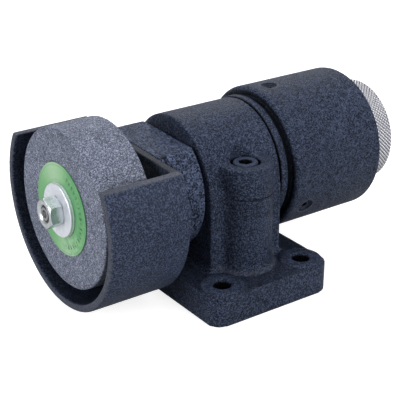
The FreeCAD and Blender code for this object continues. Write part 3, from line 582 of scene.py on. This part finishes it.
# These coats take painted shade, and paler marks that are partly painted highlights, from the masks
# above.
BRACKET_COAT = crinkle_coat("bracket_coat", 1.15, 0.26, 0.35, bare_and_highlight=foot_crests_and_highlight,
                            painted_shade=bracket_shade, lift=1.15)
SCREW_COAT = crinkle_coat("screw_coat", 1.3, 0.20, 0.1, painted_shade=socket_shade, contrast=0.7)
HOUSING_COAT = crinkle_coat("housing_coat", 1.15, 0.26, 0.3, painted_shade=housing_groove_shade, lift=1.1)
SET_SCREW_COAT = crinkle_coat("set_screw_coat", 1.3, 0.10, 0.1, painted_shade=set_screw_shade,
                              contrast=0.6)
DRUM_COAT = crinkle_coat("drum_coat", 1.2, 0.30, 0.9, bare_and_highlight=drum_lip_highlight, painted_shade=drum_shade,
                         lift=1.05)
GUARD_COAT = crinkle_coat("guard_coat", 1.15, 0.24, 0.1, bare_and_highlight=cut_faces, painted_shade=guard_inside_shade,
                          lift=1.35, contrast=0.9)
HUB_COAT = crinkle_coat("hub_coat", 0.9, 0.45, 0.9, painted_shade=hub_shade_line, lift=1.7)

SLOT_OF = {part["node"]: part["material_slot"] for part in frame["record"]["subparts"]}
BODY_OF = {}
for body, members in frame["record"]["behaviour"]["bodies"].items():
    for node in members:
        BODY_OF[node] = body


for node, piece in frame["nodes"].items():
    look = LOOKS[SLOT_OF[node]]
    if not piece.material_slots:
        piece.data.materials.append(look)
    for slot in piece.material_slots:
        slot.material = look


# ---- mesh helpers ----------------------------------------------------------------------

def stand_for(piece, node, look=None, hides=True):
    """Ride on the node's body, take the given look or its slot's look, and stand in its place."""
    piece.data.materials.clear()
    piece.data.materials.append(look or LOOKS[SLOT_OF[node]])
    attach(piece, BODY_OF[node])
    if hides:
        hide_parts(node)


def mesh_piece(name, verts, faces):
    mesh = bpy.data.meshes.new(name)
    mesh.from_pydata([tuple(v) for v in verts], [], [tuple(f) for f in faces])
    mesh.polygons.foreach_set("use_smooth", [True] * len(mesh.polygons))
    mesh.update()
    piece = bpy.data.objects.new(name, mesh)
    bpy.context.scene.collection.objects.link(piece)
    return piece


class Lattice:
    """Smooth value noise from a seeded lattice, for many points at once."""

    def __init__(self, seed, size=48):
        self.size = size
        self.values = np.random.default_rng(seed).random((size, size, size))

    def __call__(self, points):
        base = np.floor(points).astype(int)
        part = points - base
        part = part * part * (3 - 2 * part)
        total = np.zeros(len(points))
        for corner in np.ndindex(2, 2, 2):
            shift = np.array(corner)
            weight = np.prod(np.where(shift == 1, part, 1 - part), axis=1)
            at = (base + shift) % self.size
            total += weight * self.values[at[:, 0], at[:, 1], at[:, 2]]
        return total - 0.5


def vertex_array(mesh, what="co"):
    out = np.zeros(len(mesh.vertices) * 3)
    mesh.vertices.foreach_get(what, out)
    return out.reshape(-1, 3)


def push_out(mesh, amounts):
    """Move every vertex along its own normal."""
    mesh.update()
    places = vertex_array(mesh)
    places += vertex_array(mesh, "normal") * amounts[:, None]
    mesh.vertices.foreach_set("co", places.ravel())
    mesh.update()


def applied(piece):
    """Replace a piece's mesh with the result of its modifiers."""
    graph = bpy.context.evaluated_depsgraph_get()
    mesh = bpy.data.meshes.new_from_object(piece.evaluated_get(graph))
    piece.modifiers.clear()
    piece.data = mesh
    mesh.polygons.foreach_set("use_smooth", [True] * len(mesh.polygons))
    return piece


def soft_copy(name, node, voxel, soften):
    """The node's own shape, remeshed evenly and with its sharp edges eased."""
    piece = bpy.data.objects.new(name, frame["nodes"][node].data.copy())
    bpy.context.scene.collection.objects.link(piece)
    remesh = piece.modifiers.new("remesh", "REMESH")
    remesh.mode = "VOXEL"
    remesh.voxel_size = voxel
    smooth = piece.modifiers.new("smooth", "SMOOTH")
    smooth.factor = 0.5
    smooth.iterations = soften
    return applied(piece)


SKIN_SWELL, SKIN_COARSE, SKIN_FINE = 0.05 * MM, 2.2, 2.2 * 0.45
SKIN_SEEDS, PORE_SEEDS, PAPER_SEED = (7, 8), (11, 12), 21


def uneven_skin(piece):
    """A casting's surface is never quite flat."""
    places = vertex_array(piece.data) / MM
    coarse, fine = (Lattice(seed) for seed in SKIN_SEEDS)
    uneven = coarse(places / SKIN_COARSE) + 0.6 * fine(places / SKIN_FINE)
    push_out(piece.data, uneven * SKIN_SWELL)


def relax(mesh, weight, rounds):
    """Even out the surface where the weight is high."""
    ends = np.zeros(len(mesh.edges) * 2, dtype=int)
    mesh.edges.foreach_get("vertices", ends)
    first, second = ends.reshape(-1, 2).T
    places = vertex_array(mesh)
    count = np.bincount(ends, minlength=len(places))
    for _ in range(rounds):
        for axis in range(3):
            values = places[:, axis]
            total = np.bincount(first, values[second], len(places))
            total += np.bincount(second, values[first], len(places))
            places[:, axis] = values + (total / count - values) * 0.5 * weight
    mesh.vertices.foreach_set("co", places.ravel())
    mesh.update()


def rounded_profile(corners, step):
    """A closed outline of (x, radius, rounding) corners as dense points."""
    points = []
    count = len(corners)
    for index, (x, y, rounding) in enumerate(corners):
        here = np.array([x, y])
        before = np.array(corners[index - 1][:2]) - here
        after = np.array(corners[(index + 1) % count][:2]) - here
        before, after = before / np.linalg.norm(before), after / np.linalg.norm(after)
        if rounding <= 0:
            points.append(here)
            continue
        half = math.acos(max(-1.0, min(1.0, float(before @ after)))) / 2
        reach = rounding / math.tan(half)
        middle = (before + after) / np.linalg.norm(before + after)
        centre = here + middle * rounding / math.sin(half)
        start, end = here + before * reach - centre, here + after * reach - centre
        turn = math.pi - 2 * half
        cross = start[0] * end[1] - start[1] * end[0]
        parts = max(3, int(turn * rounding / (step * 0.4)))
        for k in range(parts + 1):
            angle = math.copysign(turn * k / parts, cross)
            cos, sin = math.cos(angle), math.sin(angle)
            spin = np.array([[cos, -sin], [sin, cos]])
            points.append(centre + spin @ start)
    dense = []
    for index, here in enumerate(points):
        ahead = points[(index + 1) % len(points)]
        parts = max(1, int(np.linalg.norm(ahead - here) / step))
        for k in range(parts):
            dense.append(here + (ahead - here) * k / parts)
    return np.array(dense)


def revolve(name, outline, segments, depth=None):
    """Turn a closed outline of dense (x, radius) points round the spindle's axis."""
    rows = len(outline)
    x = np.repeat(outline[:, 0], segments)
    angle = np.tile(np.arange(segments) * 2 * math.pi / segments, rows)
    radius = np.repeat(outline[:, 1], segments)
    if depth is not None:
        radius = radius - depth(x, radius, angle)
    verts = np.stack([x, radius * np.cos(angle), AXIS_HEIGHT + radius * np.sin(angle)], 1)
    row, column = np.meshgrid(np.arange(rows), np.arange(segments), indexing="ij")
    next_row, next_column = (row + 1) % rows, (column + 1) % segments
    faces = np.stack([row * segments + column, row * segments + next_column,
                      next_row * segments + next_column, next_row * segments + column], -1)
    piece = mesh_piece(name, verts, faces.reshape(-1, 4))
    fix_normals(piece)
    return piece


def lathe(name, corners, step, segments):
    return revolve(name, rounded_profile(corners, step), segments)


def fix_normals(piece):
    work = bmesh.new()
    work.from_mesh(piece.data)
    bmesh.ops.recalc_face_normals(work, faces=work.faces)
    work.to_mesh(piece.data)
    work.free()
    piece.data.update()


# ---- bracket ---------------------------------------------------------------------------

SLIT_GROOVE_HALF, SLIT_GROOVE_DEEP = 0.35 * MM, 0.75 * MM
RING_FRONT_FACE, BOSS_REACH, RING_END_KEPT = -28.0 * MM, 5.0 * MM, 2.0 * MM
BRACKET_VOXEL, SCREW_VOXEL = 0.68 * MM, 0.28 * MM


def slit_line(mesh, voxel):
    """The clamp's slit, bridged by the coat but for a narrow groove."""
    places = vertex_array(mesh)
    outside = (places[:, 1] < SLIT_INSIDE) & (abs(places[:, 0]) < SLIT_HALF_LONG)
    level = np.round((places[:, 2] - SLIT_HEIGHT) / voxel)
    for step in (-1, 0, 1):
        row = outside & (level == step)
        places[row, 2] = SLIT_HEIGHT + step * SLIT_GROOVE_HALF
    mesh.vertices.foreach_set("co", places.ravel())
    groove = outside & (level == 0)
    push_out(mesh, np.where(groove, -SLIT_GROOVE_DEEP, 0.0))


def bracket():
    piece = soft_copy("bracket_cast", "bracket_casting", BRACKET_VOXEL, 5)
    x, y, z = vertex_array(piece.data).T
    from_bolt = np.hypot(abs(x) - BOLT_ALONG / 2, abs(y) - BOLT_ACROSS / 2)
    pad_flank = (z > BASE_TOP - 0.5 * MM) & (z < PAD_TOP + 1.0 * MM)
    pad_flank &= (from_bolt > BOLT_RADIUS + 1.5 * MM) & (from_bolt < PAD_RADIUS + 5.0 * MM)
    from_screw = np.hypot(x, y - SCREW_ACROSS)
    sink_rim = (z > AXIS_HEIGHT + 12.0 * MM) & (from_screw < SINK_RADIUS + 3.0 * MM)
    sink_rim &= from_screw > SINK_RADIUS - 1.0 * MM
    relax(piece.data, pad_flank * 0.8 + sink_rim * 0.7, 2)
    beside_boss = (abs(x) > SLIT_HALF_LONG) & (abs(x) < RING_HALF - RING_END_KEPT)
    beside_boss &= (y < RING_FRONT_FACE) & (abs(z - AXIS_HEIGHT) < BOSS_REACH)
    relax(piece.data, beside_boss * 1.0, 40)
    slit_line(piece.data, BRACKET_VOXEL)
    uneven_skin(piece)
    stand_for(piece, "bracket_casting", BRACKET_COAT)
    screw = soft_copy("clamp_cap_screw", "clamp_screw", SCREW_VOXEL, 3)
    stand_for(screw, "clamp_screw", SCREW_COAT)


# ---- guard, housing and drum -----------------------------------------------------------

WELD_RINGS, WELD_SECTION, WELD_RIPPLE, WELD_TAPER = 620, 12, 1.7 * MM, 1.6 * MM
WELD_SHORT, WELD_SUNK = math.radians(0.6), 0.3 * MM


def weld_bead():
    """Fillet weld round the hub, in overlapping ripples, up to the level cut on both sides."""
    low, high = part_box("guard_weld")
    leg = high.x - low.x
    reach = math.pi + 2 * math.asin(CUT_HEIGHT / (HUB_RADIUS + leg)) - 2 * WELD_SHORT
    start = math.radians(270) + GUARD_TURN - reach / 2
    along = np.linspace(0, reach, WELD_RINGS)
    arc = along * (HUB_RADIUS + leg / 2)
    phase = (arc / WELD_RIPPLE) % 1
    end_gap = np.minimum(arc, arc[-1] - arc) / WELD_TAPER
    fullness = 0.35 + 0.65 * np.clip(end_gap, 0, 1) ** 0.5
    wander = 0.12 * np.sin(arc / (4.1 * MM)) + 0.08 * np.sin(arc / (1.9 * MM) + 1.3)
    verts = []
    for ring in range(WELD_RINGS):
        angle = start + along[ring]
        size = leg * fullness[ring] * (0.90 + 0.45 * wander[ring])
        for k in range(WELD_SECTION):
            turn = k / (WELD_SECTION - 1)
            crest = math.sin(math.pi * turn)
            bulge = (0.10 + 0.14 * phase[ring] ** 1.5 * crest) * crest * leg
            x, out = size * (1 - turn) + bulge, size * turn + bulge
            if k == 0:
                x, out = size, -WELD_SUNK
            elif k == WELD_SECTION - 1:
                x, out = -WELD_SUNK, size
            radius = HUB_RADIUS + out
            verts.append((low.x + x, radius * math.cos(angle),
                          AXIS_HEIGHT + radius * math.sin(angle)))
    faces = []
    for ring in range(WELD_RINGS - 1):
        here, ahead = ring * WELD_SECTION, (ring + 1) * WELD_SECTION
        for k in range(WELD_SECTION):
            after = (k + 1) % WELD_SECTION
            faces.append((here + k, here + after, ahead + after, ahead + k))
    faces.append(tuple(range(WELD_SECTION)))
    faces.append(tuple(range((WELD_RINGS - 1) * WELD_SECTION, WELD_RINGS * WELD_SECTION)))
    piece = mesh_piece("weld_bead", verts, faces)
    fix_normals(piece)
    stand_for(piece, "guard_weld", HUB_COAT)


# Name, node, voxel in mm, rounds of softening, look
CAST_PIECES = (
    ("guard_cup", "guard_shell", 0.62, 2, GUARD_COAT),
    ("guard_sleeve", "guard_hub", 0.6, 2, HUB_COAT),
    ("drum_cast", "brake_drum", 0.65, 3, DRUM_COAT),
    ("housing_turned", "spindle_housing", 0.62, 2, HOUSING_COAT),
)
# Name, node, look: all with the fine voxel that small screws need
SMALL_SCREWS = (
    ("hub_screws", "hub_set_screws", None),
    ("drum_screws", "drum_set_screws", SET_SCREW_COAT),
    ("knob_screw", "knob_set_screw", None),
)
SMALL_SCREW_VOXEL = 0.2 * MM


def housing_pieces():
    for name, node, voxel, soften, look in CAST_PIECES:
        piece = soft_copy(name, node, voxel * MM, soften)
        uneven_skin(piece)
        stand_for(piece, node, look)
    for name, node, look in SMALL_SCREWS:
        stand_for(soft_copy(name, node, SMALL_SCREW_VOXEL, 1), node, look)
    weld_bead()


# ---- wheel and what clamps it ----------------------------------------------------------

WHEEL_BORE, WHEEL_EDGE = 6.4 * MM, 0.9 * MM
BLOTTER_BORE, WASHER_BORE = 6.5 * MM, 4.0 * MM
NUT_ACROSS, NUT_FACE_RADIUS = 13.0 * MM, 6.3 * MM
NUT_SINK_RADIUS, NUT_BORE = 4.75 * MM, 4.0 * MM
NUT_TURN, NUT_BEVEL = math.radians(22.7), math.radians(30)


def turned_disc(name, node, bore, edge, step, segments):
    """A ring between two flat faces, with rounded outer edges."""
    low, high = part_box(node)
    radius = (high.z - low.z) / 2
    return lathe(name, [(low.x, bore, 0), (low.x, radius, edge), (high.x, radius, edge),
                        (high.x, bore, 0)], step, segments)


def abrasive_wheel():
    """Every grain and pore of the skin stands a little higher or lower."""
    piece = turned_disc("abrasive_wheel", "grinding_wheel", WHEEL_BORE, WHEEL_EDGE,
                        0.56 * MM, 436)
    places = vertex_array(piece.data) / MM
    coarse, fine = (Lattice(seed) for seed in PORE_SEEDS)
    pores = coarse(places / 0.9) + 0.7 * fine(places / 0.5)
    push_out(piece.data, np.clip(pores - 0.35, -1.0, 0.0) * 0.16 * MM)
    stand_for(piece, "grinding_wheel")


def clamp_washer():
    """Two thin plates pressed together: a fine groove runs round the edge."""
    low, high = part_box("outer_flange_washer")
    radius, middle = (high.z - low.z) / 2, (low.x + high.x) / 2
    return lathe("clamp_washer", [
        (low.x, WASHER_BORE, 0), (low.x, radius, 0.55 * MM), (middle - 0.05 * MM, radius, 0),
        (middle + 0.12 * MM, radius - 0.45 * MM, 0), (middle + 0.30 * MM, radius, 0),
        (high.x, radius, 0.3 * MM), (high.x, WASHER_BORE, 0)], 0.22 * MM, 200)


def hex_nut():
    """A turned and chamfered blank with six flats taken off it."""
    low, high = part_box("spindle_nut")
    corner = NUT_ACROSS / math.sqrt(3)
    slope = math.tan(NUT_BEVEL)
    drop = (corner - NUT_FACE_RADIUS) * slope
    sink = NUT_SINK_RADIUS - NUT_BORE

    def flats(x, radius, angle):
        from_flat = (angle - NUT_TURN) % (math.pi / 3) - math.pi / 6
        return np.maximum(0.0, radius - NUT_ACROSS / 2 / np.cos(from_flat))

    outline = rounded_profile([
        (low.x, NUT_SINK_RADIUS, 0), (low.x, NUT_FACE_RADIUS, 0.2 * MM), (low.x + drop, corner, 0),
        (high.x - drop, corner, 0), (high.x, NUT_FACE_RADIUS, 0), (high.x, NUT_BORE, 0),
        (low.x + sink, NUT_BORE, 0)], 0.14 * MM)
    return revolve("hex_nut", outline, 360, flats)


def wheel_pieces():
    abrasive_wheel()
    for name, node in (("paper_front", "front_blotter"), ("paper_rear", "rear_blotter")):
        piece = turned_disc(name, node, BLOTTER_BORE, 0.14 * MM, 0.4 * MM, 220)
        places = vertex_array(piece.data) / MM
        cockle = Lattice(PAPER_SEED)(places / 5.0)
        push_out(piece.data, np.clip(cockle - 0.5, -1, 0) * 0.05 * MM)
        stand_for(piece, node)
    stand_for(clamp_washer(), "outer_flange_washer")
    stand_for(hex_nut(), "spindle_nut", NUT_PLATE)


# ---- knob ------------------------------------------------------------------------------

KNURLS, KNURL_PITCH, KNURL_DEEP, KNURL_STEPS = 84, 2.0 * MM, 0.6 * MM, 10
KNOB_EDGE, KNOB_RECESS_RADIUS, KNOB_RECESS = 0.9 * MM, 20.0 * MM, 2.0 * MM
KNOB_NECK_RADIUS, KNOB_BORE, KNOB_FRONT = 9.8 * MM, 6.0 * MM, 83.6 * MM


def knurl(x, radius, angle):
    """Depth below the crests of two crossing families of V grooves."""
    along = (x - KNOB_FRONT) / KNURL_PITCH
    around = angle / (2 * math.pi) * KNURLS
    first = np.abs((around + along) % 1 - 0.5) * 2
    second = np.abs((around - along) % 1 - 0.5) * 2
    groove = np.clip((np.maximum(first, second) - 0.50) / 0.50, 0, 1)
    on_band = radius > KNOB_RADIUS - 0.01 * MM
    return np.where(on_band, groove * KNURL_DEEP, 0.0)


def knob_pieces():
    low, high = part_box("knurled_knob")
    band_low, band_high = KNOB_FRONT + KNOB_EDGE, high.x - KNOB_EDGE
    rows = int((band_high - band_low) / (KNURL_PITCH / KNURL_STEPS))
    face_width = KNOB_RADIUS - KNOB_EDGE - KNOB_RECESS_RADIUS
    edge_radius = KNOB_RADIUS - KNOB_EDGE * 0.35
    outline = [(KNOB_FRONT, KNOB_RECESS_RADIUS + face_width * part)
               for part in (0.0, 0.35, 0.7, 1.0)]
    outline.append((KNOB_FRONT + KNOB_EDGE * 0.6, edge_radius))
    for row in range(rows + 1):
        outline.append((band_low + (band_high - band_low) * row / rows, KNOB_RADIUS))
    outline.append((high.x - KNOB_EDGE * 0.6, edge_radius))
    for part in (1.0, 0.97, 0.7, 0.35, 0.08, 0.0):
        outline.append((high.x, KNOB_RECESS_RADIUS + face_width * part))
    face = high.x - KNOB_RECESS
    outline.append((face, KNOB_RECESS_RADIUS))
    grip = revolve("knob_grip", np.array(outline), KNURLS * KNURL_STEPS, knurl)
    stand_for(grip, "knurled_knob")
    core = lathe("knob_core", [
        (low.x, KNOB_BORE, 0), (low.x, KNOB_NECK_RADIUS, 0.3 * MM),
        (KNOB_FRONT, KNOB_NECK_RADIUS, 0.4 * MM), (KNOB_FRONT, KNOB_RECESS_RADIUS, 0),
        (face, KNOB_RECESS_RADIUS, 0), (face, KNOB_BORE, 0.3 * MM)], 0.5 * MM, 160)
    stand_for(core, "knurled_knob", hides=False)


bracket()
housing_pieces()
wheel_pieces()
knob_pieces()


# ---- camera, light and floor -----------------------------------------------------------

FLOOR_HALF, SEEN_BELOW, BOUNCE_BELOW = 6.0, 0.2 * MM, 0.4 * MM
SEEN_ALBEDO, SEEN_GLOW, BOUNCE_ALBEDO = 0.55, 0.80, 0.50
CAMERA_AZIMUTH, CAMERA_ELEVATION = math.radians(-35.29), math.radians(24.35)
CAMERA_PLACE = (-0.2923, -0.4079, 0.2631)
CAMERA_LENS, CAMERA_SENSOR, CAMERA_CLIP = 100.0, 36.0, (0.01, 20.0)
# Name, place in metres, size in metres, power in watts: all aim at the spindle's middle
LIGHTS = (
    ("key", (0.15, -0.95, 0.85), 0.6, 4),
    ("left", (-1.15, -0.05, 0.42), 0.6, 10),
    ("front_fill", (0.5, -1.1, 0.25), 0.6, 6.5),
    ("top", (0.1, 0.20, 1.25), 0.8, 9),
    ("back", (0.60, 0.85, 0.60), 0.8, 2.5),
)
WORLD_STRENGTH = 0.42


def floor_sheet(name, below, albedo, glow):
    mesh = bpy.data.meshes.new(name)
    half = FLOOR_HALF
    mesh.from_pydata([(-half, -half, 0), (half, -half, 0), (half, half, 0), (-half, half, 0)], [],
                     [(0, 1, 2, 3)])
    floor = bpy.data.objects.new(name, mesh)
    bpy.context.scene.collection.objects.link(floor)
    floor.location.z = cad_low.z - below
    material = bpy.data.materials.new(name)
    material.use_nodes = True
    shader = material.node_tree.nodes["Principled BSDF"]
    shader.inputs["Base Color"].default_value = (albedo, albedo, albedo, 1)
    shader.inputs["Roughness"].default_value = 0.9
    shader.inputs["Specular IOR Level"].default_value = 0.1
    shader.inputs["Emission Color"].default_value = (1, 1, 1, 1)
    shader.inputs["Emission Strength"].default_value = glow
    mesh.materials.append(material)
    return floor


def stage_floor():
    """A glowing pale sheet that only the camera sees, over a darker one that bounces light."""
    seen = floor_sheet("floor_seen", SEEN_BELOW, SEEN_ALBEDO, SEEN_GLOW)
    seen.visible_diffuse = False
    seen.visible_glossy = False
    seen.visible_shadow = False
    seen.visible_transmission = False
    bounce = floor_sheet("floor_bounce", BOUNCE_BELOW, BOUNCE_ALBEDO, 0.0)
    bounce.visible_camera = False


def area_light(name, place, size, watts):
    data = bpy.data.lights.new(name, "AREA")
    data.shape = "DISK"
    data.size = size
    data.energy = watts
    lamp = bpy.data.objects.new(name, data)
    bpy.context.scene.collection.objects.link(lamp)
    lamp.location = place
    lamp.rotation_mode = "QUATERNION"
    middle = Vector((0.0, 0.0, AXIS_HEIGHT))
    lamp.rotation_quaternion = (middle - Vector(place)).to_track_quat("-Z", "Y")


def lighting():
    for name, place, size, watts in LIGHTS:
        area_light(name, place, size, watts)
    world = bpy.data.worlds.new("studio")
    world.use_nodes = True
    background = world.node_tree.nodes["Background"]
    background.inputs["Color"].default_value = (1, 1, 1, 1)
    background.inputs["Strength"].default_value = WORLD_STRENGTH
    bpy.context.scene.world = world
    bpy.context.scene.view_settings.view_transform = "Standard"


def camera():
    """The view of the photograph, as fitted to it."""
    data = bpy.data.cameras.new("camera")
    data.lens = CAMERA_LENS
    data.sensor_width = CAMERA_SENSOR
    data.clip_start, data.clip_end = CAMERA_CLIP
    view = bpy.data.objects.new("camera", data)
    bpy.context.scene.collection.objects.link(view)
    level = math.cos(CAMERA_ELEVATION)
    back = Vector((math.sin(CAMERA_AZIMUTH) * level, -math.cos(CAMERA_AZIMUTH) * level,
                   math.sin(CAMERA_ELEVATION)))
    view.location = CAMERA_PLACE
    view.rotation_mode = "QUATERNION"
    view.rotation_quaternion = (-back).to_track_quat("-Z", "Y")
    bpy.context.scene.camera = view


stage_floor()
lighting()
camera()
